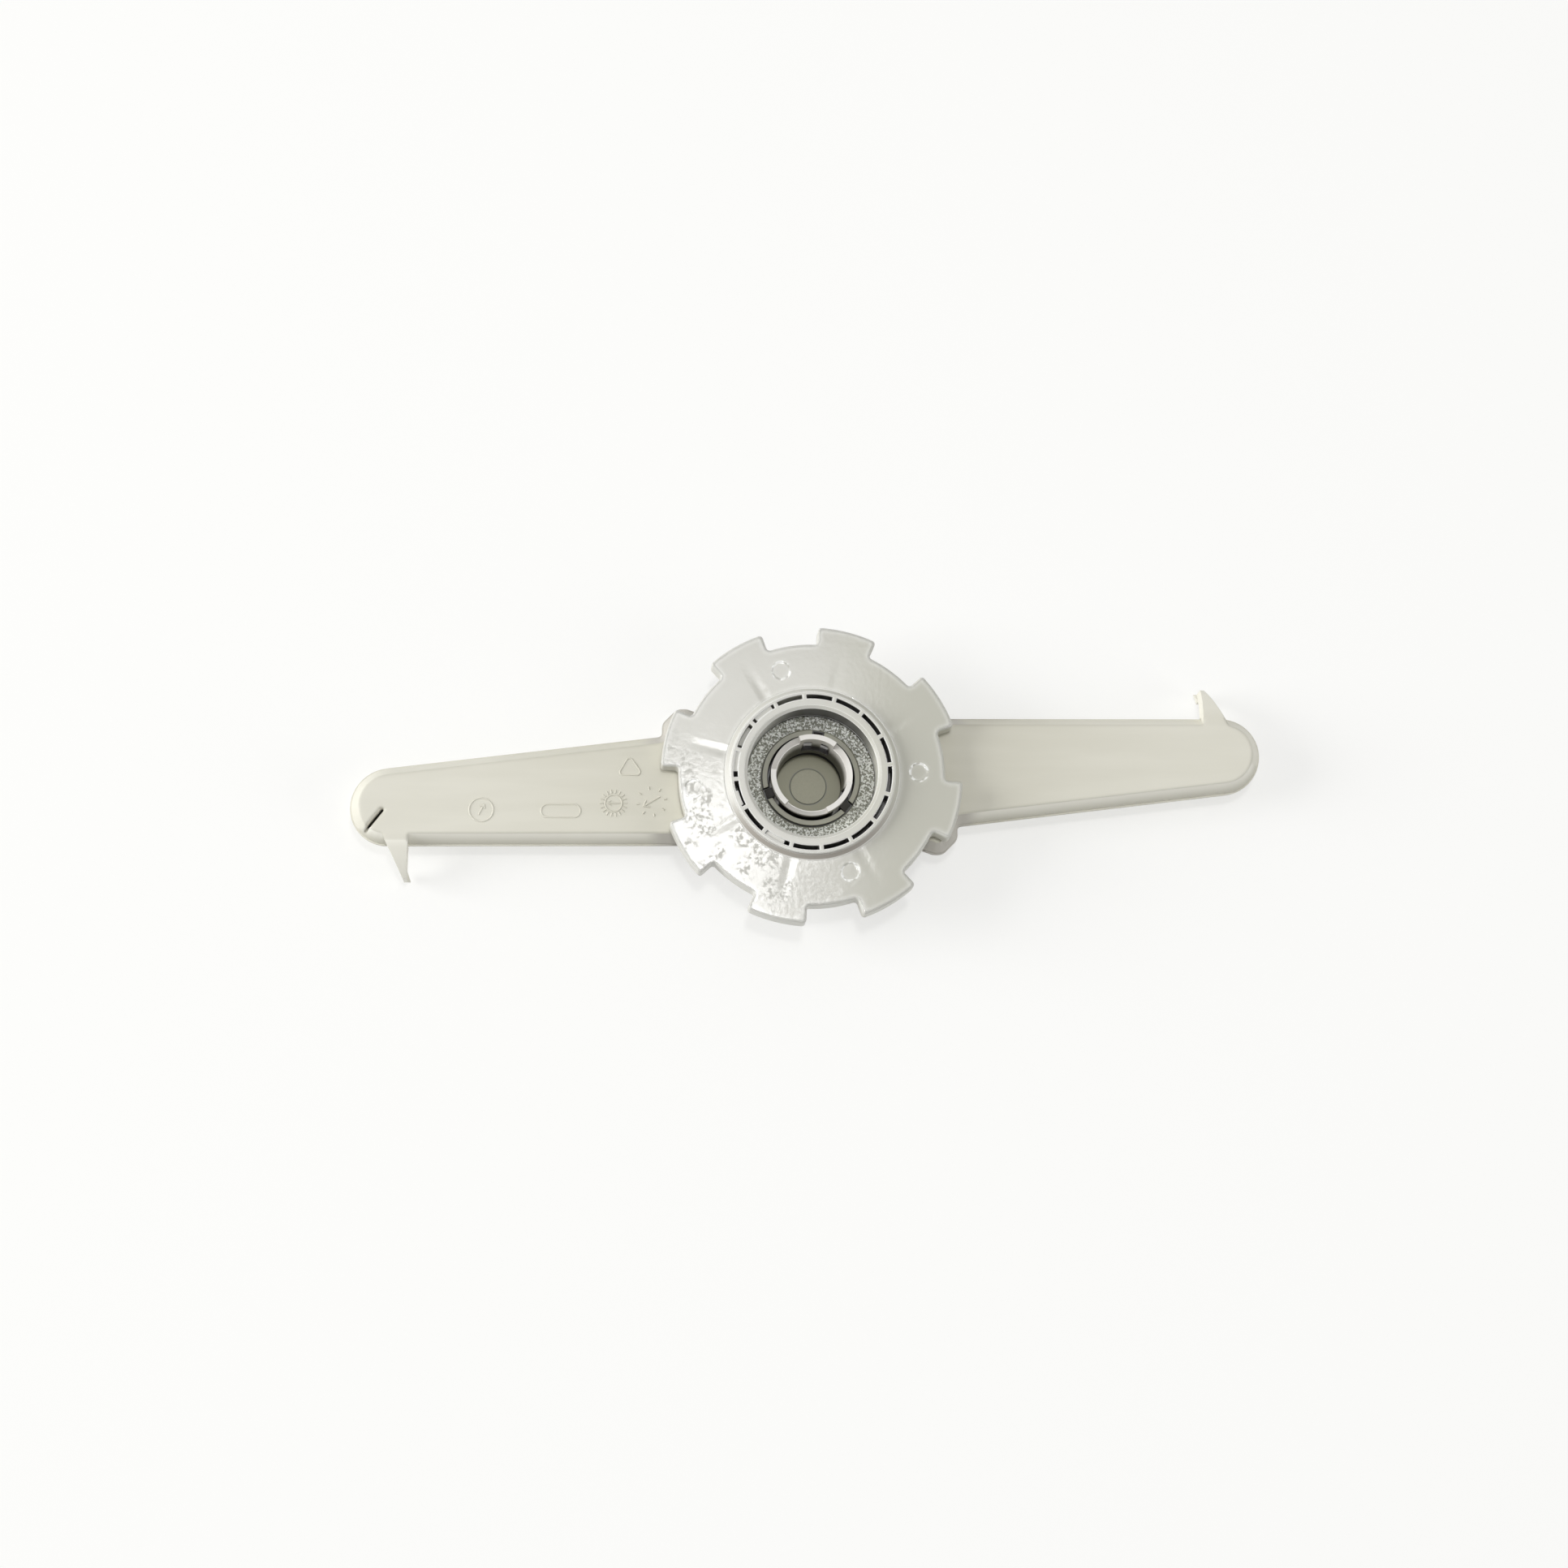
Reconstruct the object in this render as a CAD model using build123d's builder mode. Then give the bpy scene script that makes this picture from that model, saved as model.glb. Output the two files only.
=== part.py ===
from build123d import *
from math import atan2, cos, degrees, radians, sin, tan
import os

os.makedirs("parts", exist_ok=True)

# Dishwasher spray arm. Z is the hub axis, the arm lies along X with its jets down, the feed collar is on top.
# All sizes are in millimetres and all angles in degrees.

# Arm in plan: each wing is set off to one side of the long axis and tapers on its inner side
half_length = 113.4            # hub axis to the tip of a wing
straight_edge = 15.8           # long axis to the straight edge of a wing
taper_root = 11.15             # long axis to the tapered edge where it leaves its tab
taper_tip = 2.0                # long axis to the tapered edge at the tip
tip_radius = 9.0               # tip corner on the straight side
tip_flat = 0.1                 # left between the tip's two corners
tab_length = 36.4              # hub axis to the end of the tab at the root of a tapered edge
tab_step = 2.4                 # tab beyond the straight edge that it stands on
tab_chamfer = 3.6
tab_land = 2.2                 # flat of the tab, between its chamfer and its ramp
tab_ramp = 6.6                 # run of the slope from the tab down to the straight edge
inner_corner = 1.5             # rounding of inside corners
join_radius = 4.0              # rounding where the round hub meets the straight edges

# Arm in section
nozzle_depth = 8.0             # nozzle side, from the lowest face to the weld seam
feed_depth = 3.7               # feed side, from the weld seam to the visible face
wall = 2.0
side_run = 2.05                # the feed side's walls lean in by this from the seam to the visible face
side_land = 0.4                # upright part of those walls at the seam
corner_margin = 0.4            # tab corners are rounder than the lean by this
draft_run = 1.6                # the nozzle side's walls lean in by this to the lowest face
draft_land = 1.7               # upright part of those walls at the seam
seam_lip = 0.35                # weld bead standing out along the seam
seam_lip_height = 0.9

# Hub flange: radii are built up outwards from the collar bore, heights up from the arm's visible face
bore = 16.1                    # collar bore
rim_slope_width = 0.8          # slope from the bore out to the collar's flat rim
rim_slope = 0.5                # and its height
rim_land = 1.6                 # from that slope to the pockets
pocket_width = 1.1
collar_wall = 0.95             # outside the pockets, at the rim
collar_land = 1.3              # upright part of the collar's wall
collar_flare = 1.1             # below it the wall leans out by this down to the disc
collar_chamfer = 0.3
collar_height = 2.3            # above the disc
disc_gap = 0.5                 # between the arm's face and the disc's lower edge
disc_depth = 5.2               # the disc with its edge wall
disc_plate = 2.2               # the disc itself
disc_chamfer = 0.4
lobe_count = 8
first_lobe = 30.4
lobe_sweep = 23.0
lobe_radius = 37.35
lobe_height = 4.4              # from the bottom of the gaps between lobes
lobe_corner = 0.9
lobe_web = 1.6                 # edge wall at the bottom of a gap
back_rib = 1.2
pocket_count = 16
first_rib = 5.5
rib = 1.0
pocket_depth = 6.0
filled_pockets = [(129.0, 0.35), (151.0, 2.0), (172.0, 0.35), (240.0, 0.35)]   # middle, fill below the rim
filled_sweep = 15.0
half_filled_pocket = 200.0     # this one is filled on its outer half only
half_filled_sweep = 11.0
ejector_marks = [(27.2, 105.7), (26.4, 0.8), (26.2, -70.0), (29.5, 187.2)]     # radius, angle
ejector_radius = 2.2
ejector_sink = 0.12

# Bearing: the flange's skirt turns in a round well of the arm and snaps under the rim of a boss
bore_step = 0.1                # the skirt's bore is smaller than the collar's by this
running_gap = 0.05
play = 0.3                     # axial and snap clearance
boss_sink = 1.6                # rough ring below the arm's face, at its outer edge
boss_slope = 0.6               # and its rise to the neck
boss_rim = 0.9                 # thickness of the rim that the skirt snaps under
snap_overlap = 0.45            # how far the skirt's bead reaches under the rim
bead_height = 0.65
skirt_wall = 1.3
hub_floor = 1.8                # plate under the well
outer_band = 1.95              # rough ring, outside its dividing groove
inner_band = 1.6               # rough ring, inside it
band_groove = 0.25             # depth of the dividing groove
band_groove_half = 0.2         # and half its width
neck_groove = 0.3              # groove between the neck and the rough ring
neck_wall = 1.3
neck_rise = 1.2                # neck above the arm's face

# Sleeve in the neck
sleeve_gap = 0.65              # between the sleeve and the neck
sleeve_wall = 1.25
sleeve_taper = 0.8             # the sleeve's bore narrows by this to its foot
sleeve_rise = 3.8              # sleeve above the neck
flange_seat = 1.75             # foot flange under the hub plate, beyond the neck's bore
flange_height = 0.6
hook_count = 3
first_hook = 80.0
hook_sweep = 56.0
hook_drop = 1.4                # rim between the hooks, below them on the outside
hook_slope = 1.3               # and further down on the inside
hook_margin = 4.0              # the thinned wall behind a hook stops short of its ends by this
window_width = 2.0
window_height = 5.8
window_top = 3.5               # below the rim
tongue = 2.2                   # springy tongue between two windows
lug_bite = 1.1                 # lug over the notch floor
lug_height = 1.5
notch_width = 3.0
notch_depth = 1.6              # below the neck's rim

# Jets and fins
slit_from_tip = 5.6            # slit centre from the tip, along the arm
slit_from_edge = 5.2           # slit centre from the straight edge
slit_length = 7.6
slit_width = 0.7
slit_angle = 52.0
slit_open = 0.45               # its flanks open it by this on each side
slit_sink = 0.7                # and reach down to here
slit_break = 0.4               # the slit goes through the wall by this
jet_length = 8.0
jet_width = 1.6
jets_from_tip = [(10.0, 35.0), (31.0, 70.0), (54.0, 90.0)]   # distance from the tip, slot angle
gate_radius = 4.5
gate_height = 0.2
fin_from_tip = 14.1            # straight edge of the fin, from the wing tip
fin_base = 5.4                 # width of the fin at the wing's straight edge
fin_tip = 1.4                  # and at its tip, with the lean
fin_lean = 0.45                # the straight edge leans towards the wing tip by this
fin_reach = 8.3                # beyond the straight edge
fin_fall = 5.3                 # how far the fin's face falls to its tip
fin_plate = 1.6
fin_wall = 0.9
fin_depth = 4.8                # height of the wall under the fin's straight edge
fin_leg = 2.4                  # leg under the end of that wall
fin_toe = 0.3                  # and its height at the tip
fin_foot = 0.8                 # small foot that stands out on the leg

# Derived levels
seam = nozzle_depth
face = nozzle_depth + feed_depth
disc_back = face + disc_gap
disc_front = disc_back + disc_depth
collar_rim = disc_front + collar_height
boss_outer = face - boss_sink
boss_inner = boss_outer + boss_slope
neck_top = face + neck_rise
notch_floor = neck_top - notch_depth
sleeve_rim = neck_top + sleeve_rise
rim_underside = boss_outer - boss_rim
bead_top = rim_underside - play
skirt_bottom = bead_top - snap_overlap - bead_height
well_floor = skirt_bottom - play
hub_bottom = well_floor - hub_floor
sleeve_bottom = hub_bottom - flange_height

# Derived radii and widths
rim_step = bore + rim_slope_width
pocket_inner = rim_step + rim_land
pocket_outer = pocket_inner + pocket_width
pocket_middle = (pocket_inner + pocket_outer) / 2
collar = pocket_outer + collar_wall
collar_foot = collar + collar_flare
skirt_bore = bore - bore_step
skirt = skirt_bore + skirt_wall
boss = skirt_bore - running_gap
bead = boss - snap_overlap
groove = bead - play
well = skirt + play
band_line = boss - outer_band
neck_foot = band_line - inner_band
neck = neck_foot - neck_groove
neck_bore = neck - neck_wall
sleeve = neck_bore - sleeve_gap
sleeve_bore = sleeve - sleeve_wall
gap_radius = lobe_radius - lobe_height
corner_radius = side_run + corner_margin
hub_radius = well + side_run + wall


def radial_plane(angle):
    """Upright plane through the hub axis: x runs outwards at the angle, y runs up."""
    a = radians(angle)
    return Plane((0, 0, 0), x_dir=(cos(a), sin(a), 0), z_dir=(sin(a), -cos(a), 0))


def facing_plane(angle, height):
    """Upright plane at the hub axis that looks outwards at the angle."""
    a = radians(angle)
    return Plane((0, 0, height), x_dir=(-sin(a), cos(a), 0), z_dir=(cos(a), sin(a), 0))


def wedge(half_angle, reach):
    """Corners of a wedge that opens along x from the hub axis."""
    spread = reach * tan(radians(half_angle))
    return [(0, 0), (reach, -spread), (reach, spread)]


def rough_ring_height(radius):
    """Height of the rough ring's gentle cone at a radius."""
    share = (boss - radius) / (boss - neck)
    return boss_outer + share * (boss_inner - boss_outer)


# Outline of the arm: one wing with the tab opposite its root, then the same turned half a circle
tab_width = straight_edge + tab_step
tab_crest = tab_length - tab_chamfer
taper = degrees(atan2(taper_root - taper_tip, half_length - tab_length))
tip_radius_taper = (straight_edge + taper_tip - tip_radius - tip_flat) * tan(radians(45 + taper / 2))
half_corners = [
    (tab_length, -taper_root, inner_corner),
    (half_length, -taper_tip, tip_radius_taper),
    (half_length, straight_edge, tip_radius),
    (tab_land + tab_ramp - tab_crest, straight_edge, inner_corner),
    (tab_land - tab_crest, tab_width, corner_radius),
    (-tab_crest, tab_width, corner_radius),
    (-tab_length, tab_width - tab_chamfer, corner_radius),
]
corners = half_corners + [(-x, -y, radius) for x, y, radius in half_corners]

with BuildSketch() as arm_outline:
    with BuildLine():
        FilletPolyline(*[(x, y) for x, y, radius in corners], radius=[radius for x, y, radius in corners], close=True)
    make_face()
    Circle(hub_radius)
    joins = arm_outline.vertices().filter_by(lambda v: abs(Vector(v.X, v.Y).length - hub_radius) < 0.001)
    fillet(joins, radius=join_radius)

# Fin: a triangular plate that bends down from the wing's face, with a wall and a leg along its straight edge
fin_x = half_length - fin_from_tip
fin_root = straight_edge - side_run
fin_inner = fin_root - side_run
fin_end = straight_edge + fin_reach
fin_clear = straight_edge + seam_lip + play
inward = (straight_edge - fin_inner) / fin_reach
edge_inner = fin_x - fin_lean * inward
edge_end = fin_x + fin_lean
flank_inner = fin_x + fin_base + (fin_base - fin_tip) * inward
fin_plan = [(edge_inner, fin_inner), (flank_inner, fin_inner), (fin_x + fin_tip, fin_end), (edge_end, fin_end)]
wall_plan = [(edge_inner, fin_inner), (edge_inner + fin_wall, fin_inner), (edge_end + fin_wall, fin_end),
             (edge_end, fin_end)]
leg_plan = [(edge_end + fin_wall, fin_end), (edge_end - fin_foot, fin_end), (edge_end, fin_end - fin_leg),
            (edge_end + fin_wall, fin_end - fin_leg)]
wall_bottom = face - fin_depth

with BuildPart() as leg:
    with BuildSketch(Plane.YZ):
        with BuildLine():
            under = TangentArc((fin_root, wall_bottom), (fin_end, wall_bottom - fin_fall), tangent=(1, 0))
            Polyline(under @ 1, (fin_end, wall_bottom - fin_fall - fin_toe),
                     (fin_root, wall_bottom - fin_fall - fin_toe), under @ 0)
        make_face()
    extrude(amount=2 * half_length)
    with BuildSketch(Plane.XY.offset(-face)):
        Polygon(*leg_plan, align=None)
    extrude(amount=2 * face, mode=Mode.INTERSECT)

with BuildPart() as fin:
    for plan, depth in ((fin_plan, fin_plate), (wall_plan, fin_depth)):
        with BuildPart() as layer:
            with BuildSketch(Plane.YZ):
                with BuildLine():
                    over = TangentArc((fin_root, face), (fin_end, face - fin_fall), tangent=(1, 0))
                    under = TangentArc((fin_root, face - depth), (fin_end, face - depth - fin_fall), tangent=(1, 0))
                    Line(over @ 1, under @ 1)
                    Polyline(over @ 0, (fin_inner, face), (fin_inner, face - depth), under @ 0)
                make_face()
            extrude(amount=2 * half_length)
            with BuildSketch(Plane.XY.offset(-face)):
                Polygon(*plan, align=None)
            extrude(amount=2 * face, mode=Mode.INTERSECT)
    with BuildSketch(Plane.XY.offset(-face)):
        Rectangle(2 * half_length, 2 * fin_clear, align=(Align.MIN, Align.CENTER))
    extrude(amount=face + seam, mode=Mode.SUBTRACT)
    add(leg.part)

# Nozzle side of the arm: an open tray with slit jets in its floor
with BuildPart() as nozzle_shell:
    with BuildSketch():
        add(arm_outline.sketch)
    extrude(amount=seam)
    lowest = nozzle_shell.faces().sort_by(Axis.Z)[0]
    chamfer(lowest.outer_wire().edges(), length=draft_run, length2=seam - draft_land, reference=lowest)
    with BuildSketch(Plane.XY.offset(seam - seam_lip_height)):
        add(arm_outline.sketch)
        offset(amount=seam_lip)
    extrude(amount=seam_lip_height)
    with BuildSketch(Plane.XY.offset(wall)):
        add(arm_outline.sketch)
        offset(amount=-wall)
    extrude(amount=seam, mode=Mode.SUBTRACT)
    with BuildSketch(Plane.XY.offset(wall)):
        Circle(gate_radius)
    extrude(amount=gate_height)
    wing_middle = (straight_edge - taper_tip) / 2
    for turn in (0, 180):
        for from_tip, angle in jets_from_tip:
            jet_place = Location((0, 0, 0), (0, 0, turn)) * Location((half_length - from_tip, wing_middle, 0))
            with BuildSketch():
                with Locations(jet_place):
                    SlotOverall(jet_length, jet_width, rotation=angle)
            extrude(amount=2 * wall, mode=Mode.SUBTRACT)
nozzle_shell.part.label = "nozzle_shell"
export_step(nozzle_shell.part, "parts/nozzle_shell.step")

# Feed side of the arm: the visible cover with the fins, the slit jet and the bearing round its inlet
with BuildPart() as feed_shell:
    with BuildSketch(Plane.XY.offset(seam)):
        add(arm_outline.sketch)
    extrude(amount=feed_depth)
    visible = feed_shell.faces().sort_by(Axis.Z)[-1]
    chamfer(visible.outer_wire().edges(), length=side_run, length2=feed_depth - side_land, reference=visible)
    with PolarLocations(0, 2):
        add(fin.part)
    with BuildSketch(Plane.XY.offset(seam)):
        add(arm_outline.sketch)
        offset(amount=-wall)
    extrude(amount=feed_depth - wall, mode=Mode.SUBTRACT)

    # Hub plate, boss with its rough ring, and the neck
    with BuildSketch(Plane.XZ):
        with BuildLine():
            Polyline(
                (neck_bore, hub_bottom),
                (well + wall, hub_bottom),
                (well + wall, face - wall / 2),
                (boss, face - wall / 2),
                (boss, boss_outer),
                (band_line + band_groove_half, rough_ring_height(band_line + band_groove_half)),
                (band_line, rough_ring_height(band_line) - band_groove),
                (band_line - band_groove_half, rough_ring_height(band_line - band_groove_half)),
                (neck_foot, rough_ring_height(neck_foot)),
                (neck_foot, boss_outer),
                (neck, boss_outer),
                (neck, neck_top),
                (neck_bore, neck_top),
                close=True,
            )
        make_face()
    revolve(axis=Axis.Z)
    with BuildSketch(Plane.XZ):
        with BuildLine():
            Polyline(
                (groove, well_floor),
                (well, well_floor),
                (well, face + wall),
                (boss, face + wall),
                (boss, rim_underside),
                (groove, rim_underside),
                close=True,
            )
        make_face()
    revolve(axis=Axis.Z, mode=Mode.SUBTRACT)
    with BuildSketch():
        Circle(neck_bore)
    extrude(amount=neck_top, mode=Mode.SUBTRACT)
    with BuildSketch(Plane.XY.offset(notch_floor)):
        with PolarLocations(neck, hook_count, start_angle=first_hook):
            Rectangle(4 * neck_wall, notch_width)
    extrude(amount=notch_depth, mode=Mode.SUBTRACT)

    # Slit jet on one wing only, with flanks that open it towards the face
    slit_plane = Plane((slit_from_tip - half_length, slit_from_edge - straight_edge, face)).rotated((0, 0, slit_angle))
    with BuildSketch(slit_plane):
        SlotOverall(slit_length, slit_width)
    extrude(amount=-wall - slit_break, mode=Mode.SUBTRACT)
    with BuildPart(mode=Mode.SUBTRACT) as flanks:
        with BuildSketch(slit_plane):
            SlotOverall(slit_length + 2 * slit_open, slit_width + 2 * slit_open)
        with BuildSketch(slit_plane.offset(-slit_sink)):
            SlotOverall(slit_length, slit_width)
        loft()
feed_shell.part.label = "feed_shell"
export_step(feed_shell.part, "parts/feed_shell.step")

# Sleeve: a tube with a foot flange, held in the neck by three lugs on springy tongues
with BuildPart() as snap_sleeve:
    with BuildSketch(Plane.XZ):
        with BuildLine():
            Polyline(
                (sleeve_bore - sleeve_taper, sleeve_bottom),
                (neck_bore + flange_seat, sleeve_bottom),
                (neck_bore + flange_seat, hub_bottom),
                (sleeve, hub_bottom),
                (sleeve, sleeve_rim),
                (sleeve_bore, sleeve_rim),
                close=True,
            )
        make_face()
    revolve(axis=Axis.Z)
    hook_pitch = 360 / hook_count
    lead = sleeve_wall / 4
    gap_outer = sleeve_rim - hook_drop
    gap_inner = gap_outer - hook_slope
    window_sill = sleeve_rim - window_top - window_height
    sleeve_core = sleeve_bore - sleeve_taper - lead
    lug = neck_bore + lug_bite
    for hook in range(hook_count):
        hook_angle = first_hook + hook * hook_pitch
        with BuildSketch(radial_plane(hook_angle + hook_sweep / 2)):
            with BuildLine():
                Polyline(
                    (sleeve + lead, gap_outer),
                    (sleeve, gap_outer),
                    (sleeve_bore, gap_inner),
                    (sleeve_core, gap_inner),
                    (sleeve_core, sleeve_rim + lead),
                    (sleeve + lead, sleeve_rim + lead),
                    close=True,
                )
            make_face()
        revolve(axis=Axis.Z, revolution_arc=hook_pitch - hook_sweep, mode=Mode.SUBTRACT)
        with BuildSketch(radial_plane(hook_angle - hook_sweep / 2 + hook_margin)):
            with BuildLine():
                Polyline(
                    (sleeve_core, window_sill),
                    (sleeve_bore, window_sill),
                    (sleeve_bore, sleeve_rim),
                    (sleeve_core, sleeve_rim),
                    close=True,
                )
            make_face()
        revolve(axis=Axis.Z, revolution_arc=hook_sweep - 2 * hook_margin, mode=Mode.SUBTRACT)
        with BuildSketch(facing_plane(hook_angle, sleeve_rim - window_top - window_height / 2)):
            with GridLocations(tongue + window_width, 0, 2, 1):
                Rectangle(window_width, window_height)
        extrude(amount=neck, mode=Mode.SUBTRACT)
        with BuildSketch(radial_plane(hook_angle)):
            with BuildLine():
                Polyline(
                    (sleeve - sleeve_wall / 2, notch_floor),
                    (lug, notch_floor),
                    (lug, notch_floor + lug_height / 3),
                    (sleeve - sleeve_wall / 2, notch_floor + lug_height),
                    close=True,
                )
            make_face()
        extrude(amount=tongue / 2, both=True)
snap_sleeve.part.label = "snap_sleeve"
export_step(snap_sleeve.part, "parts/snap_sleeve.step")

# Hub flange: lobed disc with an edge wall, cored collar, back ribs and the skirt that snaps onto the arm
with BuildPart() as hub_flange:
    lobe_pitch = 360 / lobe_count
    with BuildSketch(Plane.XY.offset(disc_back)) as disc:
        Circle(lobe_radius)
        with PolarLocations(0, lobe_count, start_angle=first_lobe + lobe_pitch / 2):
            Polygon(*wedge((lobe_pitch - lobe_sweep) / 2, 2 * lobe_radius), align=None, mode=Mode.SUBTRACT)
        Circle(gap_radius)
        fillet(disc.vertices(), radius=lobe_corner)
    extrude(amount=disc_depth)
    chamfer(hub_flange.faces().sort_by(Axis.Z)[-1].outer_wire().edges(), length=disc_chamfer)
    with BuildSketch(Plane.XY.offset(disc_back)):
        Circle(gap_radius - lobe_web)
        with PolarLocations(0, lobe_count, start_angle=first_lobe):
            Rectangle(lobe_radius, back_rib, align=(Align.MIN, Align.CENTER), mode=Mode.SUBTRACT)
    extrude(amount=disc_depth - disc_plate, mode=Mode.SUBTRACT)
    with BuildSketch():
        Circle(pocket_middle)
    extrude(amount=collar_rim, mode=Mode.SUBTRACT)
    with BuildSketch(Plane.XZ):
        with BuildLine():
            Polyline(
                (bead, skirt_bottom),
                (skirt, skirt_bottom),
                (skirt, disc_back),
                (collar, disc_back),
                (collar, disc_front - disc_plate / 2),
                (collar_foot, disc_front - disc_plate / 2),
                (collar_foot, disc_front),
                (collar, collar_rim - collar_land),
                (collar, collar_rim - collar_chamfer),
                (collar - collar_chamfer, collar_rim),
                (rim_step, collar_rim),
                (bore, collar_rim - rim_slope),
                (bore, disc_back),
                (skirt_bore, disc_back),
                (skirt_bore, bead_top),
                (bead, bead_top - snap_overlap),
                close=True,
            )
        make_face()
    revolve(axis=Axis.Z)

    with BuildSketch(Plane.XY.offset(collar_rim)):
        Circle(pocket_outer)
        Circle(pocket_inner, mode=Mode.SUBTRACT)
        with PolarLocations(pocket_middle, pocket_count, start_angle=first_rib):
            Rectangle(2 * pocket_width, rib, mode=Mode.SUBTRACT)
    extrude(amount=-pocket_depth, mode=Mode.SUBTRACT)
    fills = [(angle, filled_sweep, pocket_inner, drop) for angle, drop in filled_pockets]
    fills.append((half_filled_pocket, half_filled_sweep, pocket_middle, 0))
    for angle, sweep, inside, drop in fills:
        with BuildSketch(Plane.XY.offset(collar_rim - pocket_depth)):
            Circle(pocket_outer)
            Circle(inside, mode=Mode.SUBTRACT)
            with Locations(Location((0, 0, 0), (0, 0, angle))):
                Polygon(*wedge(sweep / 2, 2 * collar), align=None, mode=Mode.INTERSECT)
        extrude(amount=pocket_depth - drop)
    with BuildSketch(Plane.XY.offset(disc_front)):
        for radius, angle in ejector_marks:
            with PolarLocations(radius, 1, start_angle=angle):
                Circle(ejector_radius)
    extrude(amount=-ejector_sink, mode=Mode.SUBTRACT)
hub_flange.part.label = "hub_flange"
export_step(hub_flange.part, "parts/hub_flange.step")
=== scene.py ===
import bpy
import math
from mathutils import Matrix, Quaternion, Vector


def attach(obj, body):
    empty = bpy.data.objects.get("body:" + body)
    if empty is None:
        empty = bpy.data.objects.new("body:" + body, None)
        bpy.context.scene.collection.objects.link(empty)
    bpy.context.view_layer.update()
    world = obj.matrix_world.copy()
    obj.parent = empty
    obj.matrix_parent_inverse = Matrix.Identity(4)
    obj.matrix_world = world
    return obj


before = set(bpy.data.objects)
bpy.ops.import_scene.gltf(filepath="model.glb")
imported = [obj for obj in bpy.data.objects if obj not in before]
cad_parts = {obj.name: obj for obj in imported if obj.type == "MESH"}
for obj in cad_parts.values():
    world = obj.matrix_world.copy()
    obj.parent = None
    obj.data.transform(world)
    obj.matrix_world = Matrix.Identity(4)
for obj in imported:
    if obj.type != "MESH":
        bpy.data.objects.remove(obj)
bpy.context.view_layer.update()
bpy.ops.object.select_all(action="DESELECT")
bpy.context.scene.view_settings.view_transform = "Standard"


# Arm: two talc-filled polypropylene shells welded along a seam, matte greenish grey.
# The visible face shows faint flow lines along the wings, and the ring round the inlet keeps
# the coarse spark-eroded texture of its mould, with pale flecks painted on it as glints. The depths round the
# inlet are painted dark as shade.
MM = 0.001


class Field:
    """A socket in a finish: sums and products of fields add Math nodes, and make adds any other node."""

    def __init__(self, tree, socket):
        self.tree = tree
        self.socket = socket

    def make(self, kind, settings=None, inputs=None, output=0):
        """A node of any type with its settings, and a value or a field for each of its sockets."""
        node = self.tree.nodes.new(kind)
        for name, value in (settings or {}).items():
            setattr(node, name, value)
        for name, value in (inputs or {}).items():
            if isinstance(value, Field):
                self.tree.links.new(value.socket, node.inputs[name])
            else:
                node.inputs[name].default_value = value
        return Field(self.tree, node.outputs[output])

    def math(self, operation, *values):
        return self.make("ShaderNodeMath", {"operation": operation}, dict(enumerate(values)))

    def __add__(self, other):
        return self.math("ADD", self, other)

    __radd__ = __add__

    def __sub__(self, other):
        return self.math("SUBTRACT", self, other)

    def __rsub__(self, other):
        return self.math("SUBTRACT", other, self)

    def __mul__(self, other):
        return self.math("MULTIPLY", self, other)

    __rmul__ = __mul__

    def __pow__(self, other):
        return self.math("POWER", self, other)

    def __abs__(self):
        return self.math("ABSOLUTE", self)

    def joined(self, other):
        """The larger of two fields, for masks that overlap."""
        return self.math("MAXIMUM", self, other)

    def rise(self, start, end):
        """0 below start and 1 above end, with a smooth step between."""
        return self.make(
            "ShaderNodeMapRange",
            {"interpolation_type": "SMOOTHSTEP"},
            {"Value": self, "From Min": start, "From Max": end},
        )

    def fall(self, start, end):
        """1 below start and 0 above end."""
        return 1 - self.rise(start, end)

    def band(self, start, full, fade, end):
        """1 from full to fade, and 0 below start and above end."""
        return self.rise(start, full) * self.fall(fade, end)

    def noise(self, size, detail=2.0, roughness=0.5):
        """Grains of about that size in millimetres, on a place."""
        return self.make(
            "ShaderNodeTexNoise",
            inputs={"Vector": self, "Scale": 1 / (size * MM), "Detail": detail, "Roughness": roughness},
        )

    def stretched(self, x, y, z):
        """The same place with its axes scaled, for a pattern that runs along one of them."""
        return self.make("ShaderNodeMapping", inputs={"Vector": self, "Scale": (x, y, z)})

    def mix(self, first, second):
        """A colour between two, with this field as the share of the second."""
        return self.make("ShaderNodeMix", {"data_type": "RGBA"}, {0: self, 6: first, 7: second}, output=2)

    def mix_ways(self, first, second):
        """A direction between two, with this field as the share of the second."""
        return self.make("ShaderNodeMix", {"data_type": "VECTOR"}, {0: self, 4: first, 5: second}, output=1)


def new_finish(name):
    """A material, its shader, the place on the piece, and x, y, z and radius in millimetres."""
    finish = bpy.data.materials.new(name)
    finish.use_nodes = True
    tree = finish.node_tree
    place = Field(tree, tree.nodes.new("ShaderNodeTexCoord").outputs["Object"])
    split = tree.nodes.new("ShaderNodeSeparateXYZ")
    tree.links.new(place.socket, split.inputs[0])
    x, y, z = (Field(tree, socket) * (1 / MM) for socket in split.outputs)
    radius = (x * x + y * y) ** 0.5
    return finish, tree.nodes["Principled BSDF"], place, x, y, z, radius


def feed(shader, name, field):
    field.tree.links.new(field.socket, shader.inputs[name])


def surface_way(place):
    """The surface's own direction."""
    return place.make("ShaderNodeNewGeometry", output=1)


def rounded(place, radius):
    """The surface direction with every sharp edge rounded over that radius in millimetres."""
    return place.make("ShaderNodeBevel", {"samples": 6}, {"Radius": radius * MM})


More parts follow.
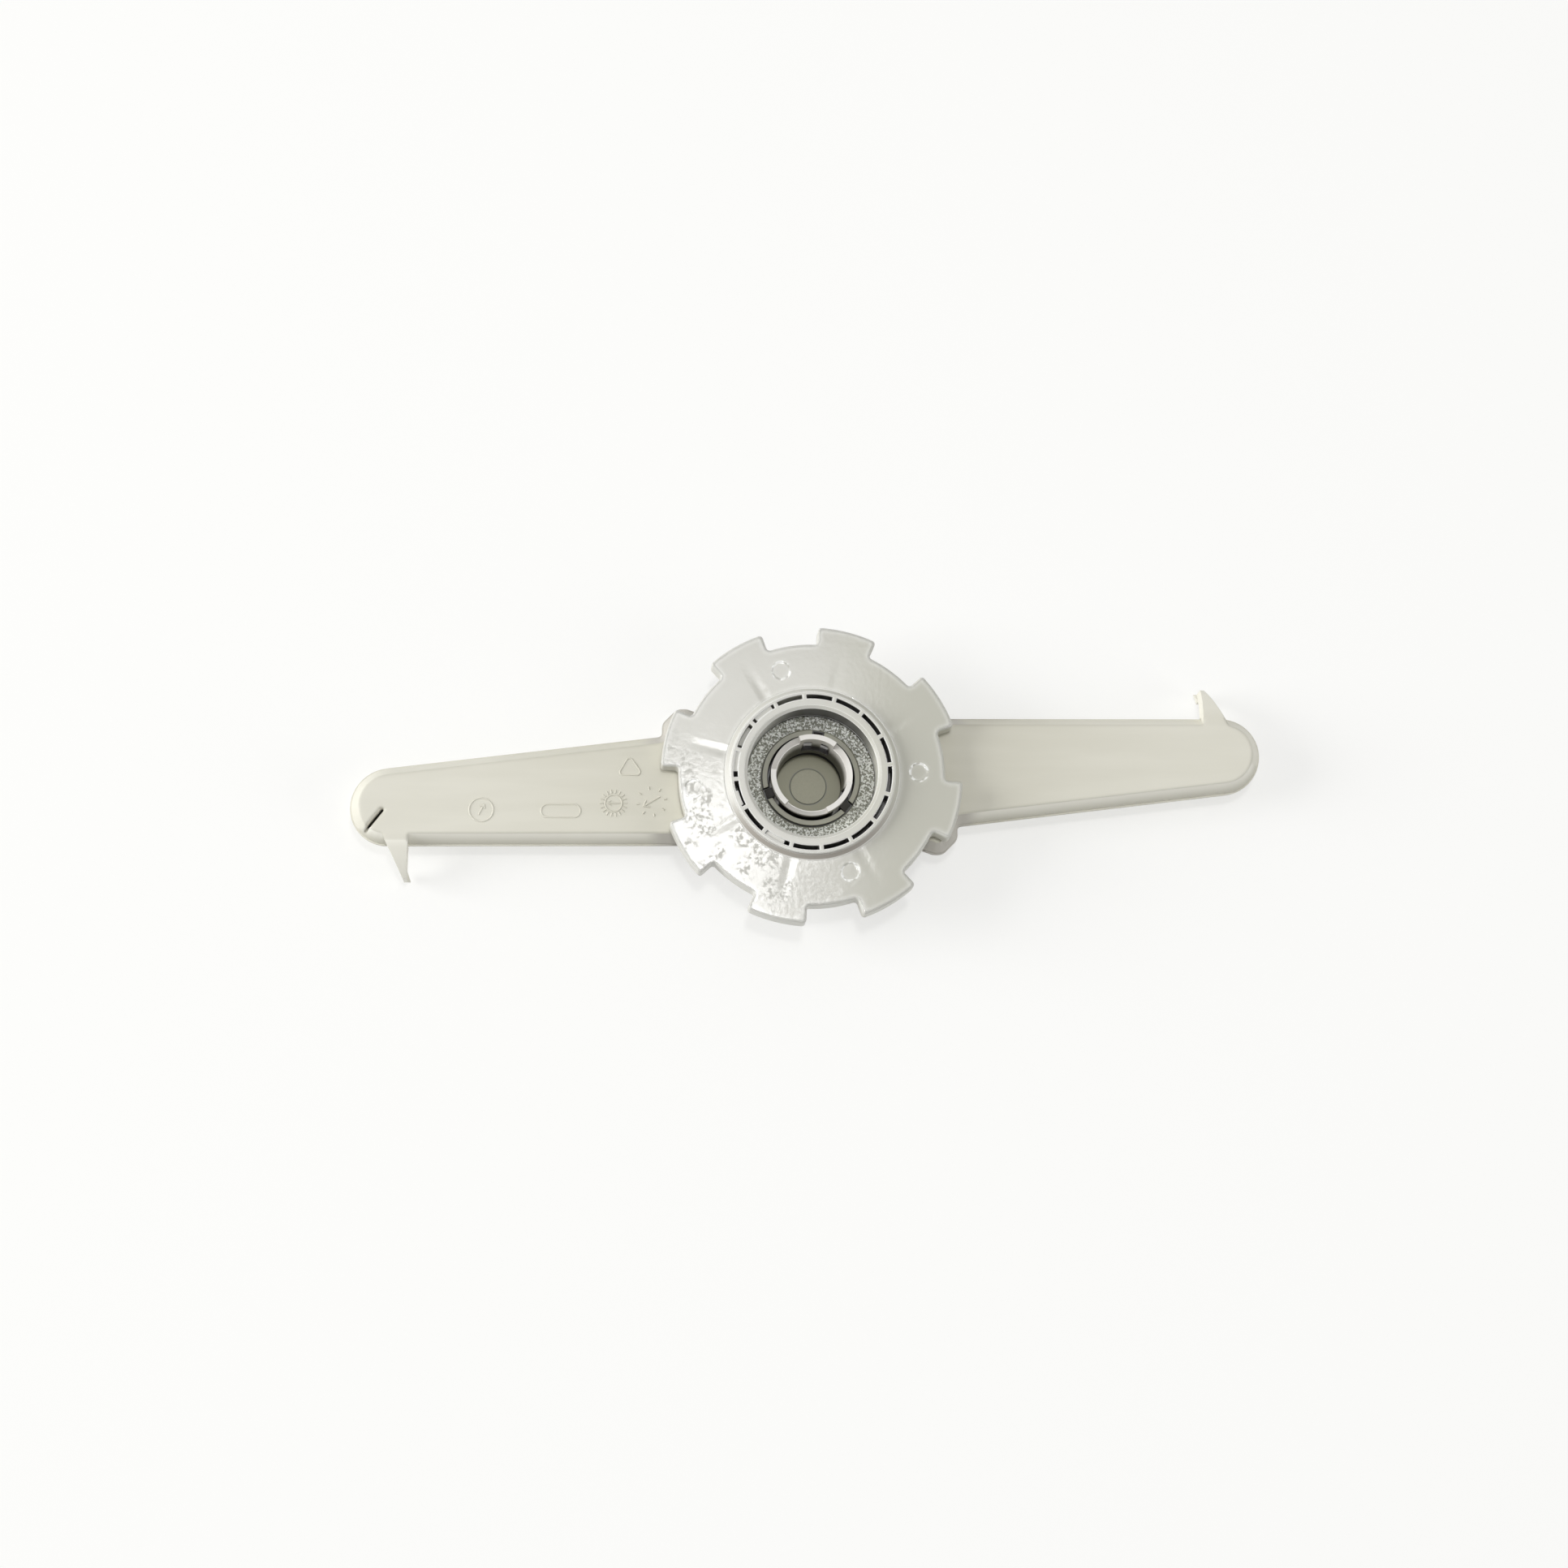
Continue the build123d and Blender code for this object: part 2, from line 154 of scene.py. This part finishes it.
def edge_turn(place, radius):
    """0 on surfaces more than the radius away from a sharp edge, growing to about 0.3 on the edge."""
    likeness = place.make(
        "ShaderNodeVectorMath",
        {"operation": "DOT_PRODUCT"},
        {0: rounded(place, radius), 1: surface_way(place)},
        output=1,
    )
    return 1 - likeness


def bump(field, depth, before):
    """A Bump node of that depth in millimetres, on top of an earlier surface direction."""
    return field.make("ShaderNodeBump", inputs={"Height": field, "Distance": depth * MM, "Normal": before})


def dress(node, finish):
    """Give a CAD node one finish."""
    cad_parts[node].data.materials.clear()
    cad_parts[node].data.materials.append(finish)


face = 11.7                          # height of the wings' visible face, in millimetres
wing_start = 36                      # distance from the hub axis
left_wing_drop = 16                  # how much lower the left wing's lower edge lies than the right one's
flow_size, flow_stretch = 6, 0.15
hub_shade_share, flow_share = 0.75, 0.25
right_fin_light_share = 0.5
gate_share, gate_grain = 0.6, 0.8
arm_roughness, ring_smoother = 0.42, 0.27
edge_round, wing_edge_round = 0.25, 1.3
skin_grain, skin_depth = 0.5, 0.01
ring_grain, ring_depth = 0.8, 0.6
arm_pale = (0.715, 0.698, 0.608, 1)
arm_flow_and_hub_shade = (0.585, 0.568, 0.475, 1)
fin_painted_light = (0.79, 0.775, 0.69, 1)
side_painted_shade = (0.56, 0.545, 0.46, 1)
side_painted_highlight = (0.82, 0.805, 0.72, 1)
tab_painted_shade = (0.50, 0.48, 0.43, 1)
floor_painted_shade = (0.40, 0.39, 0.26, 1)
gate_pale = (0.52, 0.51, 0.37, 1)
ring_painted_glint = (0.98, 0.99, 0.94, 1)
gate_line_and_ring_shade = (0.27, 0.275, 0.22, 1)
neck_painted_shade = (0.34, 0.335, 0.26, 1)
unlit = (0.035, 0.035, 0.03, 1)
arm_plastic, shader, place, x, y, z, radius = new_finish("arm_plastic")

# the wings are painted darker towards the hub as shade, with flow lines, and their lower side walls get a
# painted highlight at the top that fades into painted shade down to the seam
flow = place.stretched(flow_stretch, 1, 1).noise(flow_size, detail=3)
# the darker tone near the hub is painted shade; the flow lines are the plastic's own
outwards = hub_shade_share * abs(x).rise(25, 110) + flow_share * flow.rise(0.3, 0.7)
# the fins are painted paler as light, the left one fully and the right one by half
fins = abs(y).rise(15, 19) * abs(x).rise(50, 60) * (1 - right_fin_light_share * x.rise(0, 1))
tone = fins.mix(outwards.mix(arm_flow_and_hub_shade, arm_pale), fin_painted_light)
lower_edges = (y + left_wing_drop * x.fall(-1, 1)).fall(3.5, 4.5)
sides = z.band(8.2, 8.5, face - 0.15, face - 0.05) * (1 - fins) * lower_edges
# the lower side walls are painted with a highlight at the top that turns to shade towards the seam
side_painted_light = z.rise(8.4, face - 0.1).mix(side_painted_shade, side_painted_highlight)
tone = (sides * radius.rise(wing_start, wing_start + 4)).mix(tone, side_painted_light)
# the side walls of the tabs beside the disc are painted darker as shade
tabs = z.fall(face - 0.2, face - 0.05) * radius.fall(39, 44)
tone = tabs.mix(tone, tab_painted_shade)

# from the hub axis outwards: gate mark, floor, dark gap behind the sleeve, neck with notches, rough ring; the
# floor, gap, notches and neck are painted dark as shade
gate_mark = radius.fall(4.4, 4.5) * (gate_share + gate_grain * (place.noise(0.5, roughness=0.7) - 0.5))
gate_line = radius.band(4.4, 4.5, 4.75, 4.85)
# the floor round the gate mark is painted darker as shade
floor_tone = gate_line.mix(gate_mark.mix(floor_painted_shade, gate_pale), gate_line_and_ring_shade)
gap = radius.band(8.1, 8.4, 10.85, 10.95)
neck = radius.band(10, 10.3, 12.2, 12.6)
notches = radius.band(10.7, 10.75, 12.3, 12.4) * z.fall(12.5, 12.7)
# pale flecks painted on a dark base stand in for the glints and shade of the rough ring; the same dark colour
# draws the line round the gate mark
flecks = place.noise(0.55, roughness=0.6).rise(0.47, 0.6)
coarse_flecks = place.stretched(1.3, 1.3, 1.3).noise(0.7, roughness=0.7).rise(0.56, 0.62)
ring_glints_and_shade = flecks.joined(coarse_flecks).mix(gate_line_and_ring_shade, ring_painted_glint)
# the neck is painted darker as shade
hollow = neck.mix(radius.rise(12.4, 12.6).mix(floor_tone, ring_glints_and_shade), neck_painted_shade)
# the gap behind the sleeve and the notches are painted near black as shade
hollow = gap.joined(notches).mix(hollow, unlit)
inside = radius.fall(16.5, 17) * z.fall(13.5, 14)
feed(shader, "Base Color", inside.mix(tone, hollow))

inlet_ring = radius.band(12.35, 12.45, 15.9, 16) * z.rise(9.9, 10)
feed(shader, "Roughness", arm_roughness - ring_smoother * inlet_ring)

# the wings' edges are rolled, and the raised marks on the face keep their own shape
on_wing = radius.rise(wing_start, wing_start + 1)
wing_edge = on_wing * z.rise(8.4, 8.8) * abs(y).fall(15.7, 15.9)
marks = on_wing * z.rise(face + 0.005, face + 0.02)
edges = wing_edge.mix_ways(rounded(place, edge_round), rounded(place, wing_edge_round))
edges = marks.mix_ways(edges, surface_way(place))
skin = bump(place.noise(skin_grain), skin_depth, edges)
feed(shader, "Normal", bump(place.noise(ring_grain, roughness=0.6) * inlet_ring, ring_depth, skin))
for node in ("feed_shell", "nozzle_shell"):
    dress(node, arm_plastic)


# Snap sleeve: a short moulded tube of unfilled light grey plastic with a satin skin.
# It is pushed up through the hub plate and held by its lugs. Its bore and the gap round it
# are painted dark towards the bottom as shade.
sleeve_roughness = 0.32
sleeve_pale = (0.70, 0.68, 0.64, 1)
sleeve_deep = (0.66, 0.64, 0.60, 1)
sleeve_unlit = (0.03, 0.027, 0.024, 1)
sleeve_plastic, shader, place, x, y, z, radius = new_finish("sleeve_plastic")
# the lower bore and the gap round the sleeve are painted near black as shade
bore_depth = radius.fall(9.3, 9.5) * z.fall(8.5, 13.5)
gap_depth = radius.rise(9.9, 10.1) * z.fall(13.2, 15)
tone = place.noise(4).mix(sleeve_deep, sleeve_pale)
feed(shader, "Base Color", bore_depth.joined(gap_depth).mix(tone, sleeve_unlit))
shader.inputs["Roughness"].default_value = sleeve_roughness
dress("snap_sleeve", sleeve_plastic)


# Hub flange: one glossy light grey moulding. The disc has the orange-peel skin of its mould, painted
# highlights along its edges and shallow sink lines over the ribs on its back. The collar is smoother and more
# satin, and its bore and pockets are painted dark as shade.
collar_roughness, disc_smoother = 0.34, 0.25
mottle_rougher, mottle_tint = 0.3, 0.4
disc_edge, collar_edge_width = 2.2, 0.5
outline_highlight_share = 0.7
edge_round = 0.6
peel_size, peel_depth = 1.1, 0.014
sink_half_width, sink_depth = 2.0, 0.06
sink_lines = (                       # bearing, and share of the full depth
    (30.4, 0.3), (75.4, 0.3), (120.4, 1.0), (165.4, 0.8),
    (210.4, 0.6), (255.4, 0.8), (300.4, 0.5), (345.4, 0.3),
)
ejector_radius = 2.2
ejector_marks = ((27.2, 105.7), (26.4, 0.8), (26.2, -70.0), (29.5, 187.2))     # distance and bearing
hub_pale = (0.585, 0.578, 0.528, 1)
hub_deep = (0.560, 0.553, 0.503, 1)
hub_painted_highlight = (0.97, 0.97, 0.94, 1)
rim_and_mottle_painted_shade = (0.33, 0.327, 0.29, 1)
disc_right_painted_shade = (0.52, 0.515, 0.445, 1)
bore_and_pocket_painted_shade = (0.05, 0.047, 0.04, 1)
collar_wall_painted_shade = (0.36, 0.335, 0.295, 1)
hub_plastic, shader, place, x, y, z, radius = new_finish("hub_plastic")
disc = radius.rise(21.6, 21.9) * z.rise(17.0, 17.2)

# the plain tone with painted shade on the disc's right side, then painted shade in the bore, on the disc's
# rim, on the collar's outer wall and in the pockets
# the right side of the disc is painted darker as shade
tone = x.rise(-5, 24).mix(place.noise(6).mix(hub_deep, hub_pale), disc_right_painted_shade)
# the upper side of the collar's bore is painted near black as shade
bore = radius.fall(16.15, 16.3) * z.fall(18.6, 19) * (0.3 * x + 0.95 * y).rise(6, 15)
turned = edge_turn(place, disc_edge)
# the rim of the disc's edges is painted darker as shade
rim = turned.rise(0.09, 0.13)
tone = (rim * disc).mix(bore.mix(tone, bore_and_pocket_painted_shade), rim_and_mottle_painted_shade)
# the low front of the collar's outer wall is painted darker as shade
outer_wall = radius.band(20.2, 20.4, 21.8, 22) * z.band(17.4, 17.5, 19.2, 19.4) * (-1 * y).rise(4, 16)
tone = outer_wall.mix(tone, collar_wall_painted_shade)
# the pockets are painted near black as shade, except on the upper left
pockets = radius.band(17.4, 17.6, 19.9, 20.1) * z.fall(18.9, 19.2)
tone = (pockets * (0.75 * y - 0.66 * x).fall(13, 17)).mix(tone, bore_and_pocket_painted_shade)

# the lower left of the disc is rougher in patches, and spots in them are painted darker as shade within the
# lamp's reflection
lower_left = (-0.7 * x - 0.7 * y).rise(12, 20)
patches = place.noise(6, detail=1).rise(0.4, 0.55) * lower_left
mottle = place.noise(1.0, roughness=0.6).rise(0.48, 0.6) * patches
tone = (mottle_tint * mottle * disc).mix(tone, rim_and_mottle_painted_shade)
feed(shader, "Roughness", collar_roughness - disc_smoother * disc + mottle_rougher * mottle * disc)

# the edges get painted highlights: the disc's outline, the collar and the rings of the ejector marks
outline = turned.rise(0.02, 0.04) * (1 - rim) * outline_highlight_share
collar_edge_highlight = edge_turn(place, collar_edge_width).rise(0.004, 0.07) * (1 - disc)
pale = collar_edge_highlight + disc * outline
broken = place.noise(1.5, detail=1).rise(0.4, 0.6)
for reach, bearing in ejector_marks:
    aside_x = x - reach * math.cos(math.radians(bearing))
    aside_y = y - reach * math.sin(math.radians(bearing))
    off_circle = abs((aside_x * aside_x + aside_y * aside_y) ** 0.5 - ejector_radius)
    pale = pale.joined(disc * off_circle.fall(0.15, 0.45) * broken)
feed(shader, "Base Color", pale.mix(tone, hub_painted_highlight))

sinks = 0
for bearing, share in sink_lines:
    out_x, out_y = math.cos(math.radians(bearing)), math.sin(math.radians(bearing))
    outward = x * out_x + y * out_y
    aside = abs(x * out_y - y * out_x)
    sinks = share * outward.band(20, 22, 24, 34) * aside.fall(0, sink_half_width) + sinks
peel = bump(place.noise(peel_size) * disc, peel_depth, rounded(place, edge_round))
feed(shader, "Normal", bump((1 - sinks) * disc, sink_depth, peel))
dress("hub_flange", hub_plastic)


# Mould marks: thin raised lines on the left wing's face, left by inserts in the mould. There are two dials
# with plain ticks and a pointer, a ring with a pointer, a rounded triangle and a blank pad.
line_width = 0.5
line_sunk = 0.06                     # how far the middle of a round line lies under the face
ring_middle, tick_middle, pointer_middle = (-81.4, -7.85), (-48.9, -6.25), (-39.5, -5.85)
triangle_corners = (((-46.4, 1.7), 130), ((-43.2, 1.7), 290), ((-44.9, 4.2), 30))     # middle, first bearing
pad_ends = (((-65.1, -8.15), 90), ((-58.7, -8.15), 270))


def arc(middle, radius, start=0, sweep=360, steps=40):
    """Points in millimetres along a circle."""
    turns = [math.radians(start + sweep * step / steps) for step in range(steps)]
    return [(middle[0] + radius * math.cos(turn), middle[1] + radius * math.sin(turn)) for turn in turns]


def stroke(middle, bearing, inner, outer):
    """A straight line that runs outwards from a middle, between two distances."""
    way = math.cos(math.radians(bearing)), math.sin(math.radians(bearing))
    return [(middle[0] + way[0] * reach, middle[1] + way[1] * reach) for reach in (inner, outer)]


def ticks(middle, bearings, inner, outer):
    """Straight lines round a middle."""
    return [(stroke(middle, bearing, inner, outer), False) for bearing in bearings]


def pointer(middle, bearing, half_length):
    """A straight line through a middle with an open arrowhead at its end."""
    shaft = stroke(middle, bearing, -half_length, half_length)
    barbs = [stroke(shaft[1], bearing + turn, 0, 0.7 * half_length) for turn in (145, 215)]
    return [(line, False) for line in (shaft, *barbs)]


def mould_mark(name, lines):
    """One piece of raised lines, each a list of points and whether it closes."""
    path = bpy.data.curves.new(name, "CURVE")
    path.dimensions = "3D"
    path.bevel_depth = line_width * MM / 2
    path.bevel_resolution = 2
    path.use_fill_caps = True
    for points, closed in lines:
        spline = path.splines.new("POLY")
        spline.points.add(len(points) - 1)
        for knot, (along, across) in zip(spline.points, points):
            knot.co = (along * MM, across * MM, (face - line_sunk) * MM, 1)
        spline.use_cyclic_u = closed
    piece = bpy.data.objects.new(name, path)
    bpy.context.scene.collection.objects.link(piece)
    bpy.ops.object.select_all(action="DESELECT")
    piece.select_set(True)
    bpy.context.view_layer.objects.active = piece
    bpy.ops.object.convert(target="MESH")
    bpy.ops.object.shade_smooth()
    piece = bpy.context.object
    piece.data.materials.append(arm_plastic)
    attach(piece, "arm")


mould_mark("ring_mark", [(arc(ring_middle, 2.95), True), *pointer(ring_middle, 63, 1.5)])
mould_mark("tick_dial", [
    (arc(tick_middle, 2.1), True),
    *ticks(tick_middle, range(0, 360, 20), 2.5, 3.4),
    *pointer(tick_middle, 180, 1.6),
])
mould_mark("pointer_dial", [
    *ticks(pointer_middle, range(10, 370, 45), 3.1, 3.8),
    *pointer(pointer_middle, 211, 2.4),
])
triangle = [point for corner, start in triangle_corners for point in arc(corner, 0.9, start, 120, 8)]
mould_mark("triangle_mark", [(triangle, True)])
pad = [point for end, start in pad_ends for point in arc(end, 1.65, start, 180, 16)]
mould_mark("blank_pad", [(pad, True)])


# Studio: a white table under a dome of light that is darker in front. A large low soft box stands at the left
# and a weaker one at the right, and a small lamp hangs overhead. Two more lamps, set up after the camera,
# are the ones that the glossy disc mirrors towards it.
table_white = (0.985, 0.985, 0.968, 1)
table_glow = 0.6                     # share of plain white in the table where it is seen directly
table_roughness = 0.9
table_radius = 6
table_drop = 0.1 * MM                # below the part, so that no faces coincide
dome_level, dome_slope = 0.38, 0.16
bpy.ops.mesh.primitive_circle_add(
    vertices=64, radius=table_radius, fill_type="NGON", location=(0, 0, -table_drop)
)
floor = bpy.context.object
floor.name = "floor"
table = bpy.data.materials.new("table")
table.use_nodes = True
tree = table.node_tree
matte = tree.nodes["Principled BSDF"]
matte.inputs["Base Color"].default_value = table_white
matte.inputs["Roughness"].default_value = table_roughness
matte.inputs["Specular IOR Level"].default_value = 0


def seen_directly(tree):
    """1 for a ray from the camera, or one that a glossy or clear surface passes on."""
    rays = tree.nodes.new("ShaderNodeLightPath").outputs
    camera_ray, glossy_ray, clear_ray = (
        Field(tree, rays[name]) for name in ("Is Camera Ray", "Is Glossy Ray", "Is Transmission Ray")
    )
    return camera_ray.joined(glossy_ray).joined(clear_ray)


shown = Field(tree, matte.outputs[0])
glow = shown.make("ShaderNodeEmission", inputs={"Color": table_white, "Strength": 1})
blank = shown.make("ShaderNodeMixShader", inputs={0: seen_directly(tree) * table_glow, 1: shown, 2: glow})
tree.links.new(blank.socket, tree.nodes["Material Output"].inputs["Surface"])
floor.data.materials.append(table)

world = bpy.data.worlds.new("studio")
world.use_nodes = True
dome = world.node_tree.nodes["Background"]
dome.inputs["Color"].default_value = (1, 1, 1, 1)
away = Field(world.node_tree, world.node_tree.nodes.new("ShaderNodeTexCoord").outputs["Generated"])
lit = dome_level + dome_slope * away.make("ShaderNodeSeparateXYZ", inputs={0: away}, output=1)
feed(dome, "Strength", lit + (1 - lit) * seen_directly(world.node_tree))
bpy.context.scene.world = world


def soft_box(name, direction, reach, size, radiance):
    """A square lamp of that brightness and size, reach metres from the hub along a direction."""
    lamp = bpy.data.objects.new(name, bpy.data.lights.new(name, "AREA"))
    bpy.context.scene.collection.objects.link(lamp)
    lamp.data.size = size
    lamp.data.energy = radiance * size * size * math.pi
    outward = Vector(direction).normalized()
    lamp.location = outward * reach
    lamp.rotation_mode = "QUATERNION"
    lamp.rotation_quaternion = outward.to_track_quat("Z", "Y")


soft_box("left_box", direction=(-0.93, 0.06, 0.37), reach=3.0, size=1.6, radiance=9.6)
soft_box("right_box", direction=(0.85, -0.35, 0.4), reach=3.0, size=1.6, radiance=2.4)
soft_box("top_lamp", direction=(0, 0.085, 1), reach=1.5, size=0.12, radiance=86)


# Camera: the hub axis leans towards it, and the arm lies nearly level across the picture.
# The two lamps that follow are placed from it, so that the disc mirrors them at chosen spots.
picture = 1932                       # pixels across
disc_centre = (1000.95, 953.2)       # the disc's middle in the picture
disc_height = 17.4 * MM              # its front face above the table
distance = 0.75
focal = 3750                         # in pixels
hub_lean = (0.0628, 0.213)           # hub axis in the picture, to the right and up
arm_roll = math.radians(0.78)

axis = Vector((*hub_lean, math.sqrt(1 - hub_lean[0] ** 2 - hub_lean[1] ** 2)))
across = (Vector((1, 0, 0)) - axis * axis.x).normalized()
along = Quaternion(axis, arm_roll) @ across
turn = Matrix((along, axis.cross(along), axis))
middle = Vector((disc_centre[0] - picture / 2, picture / 2 - disc_centre[1], -focal)) * distance / focal
eye = turn @ -(middle - axis * disc_height)

camera = bpy.data.objects.new("camera", bpy.data.cameras.new("camera"))
bpy.context.scene.collection.objects.link(camera)
camera.data.sensor_width = 36
camera.data.lens = camera.data.sensor_width * focal / picture
camera.data.clip_start = 0.01
camera.matrix_world = Matrix.Translation(eye) @ turn.to_4x4()
bpy.context.scene.camera = camera


def mirrored_lamp(name, spot, size, radiance, reach=1.2):
    """A lamp that the disc's front face mirrors towards the camera at that spot, in millimetres."""
    spot = Vector((spot[0] * MM, spot[1] * MM, disc_height))
    sight = (spot - eye).normalized()
    lamp_place = spot + reach * Vector((sight.x, sight.y, -sight.z))
    soft_box(name, lamp_place, lamp_place.length, size, radiance)


mirrored_lamp("small_lamp", spot=(-26, -20), size=0.095, radiance=12.0)
mirrored_lamp("pale_lamp", spot=(-17, 6), size=0.15, radiance=3.0)
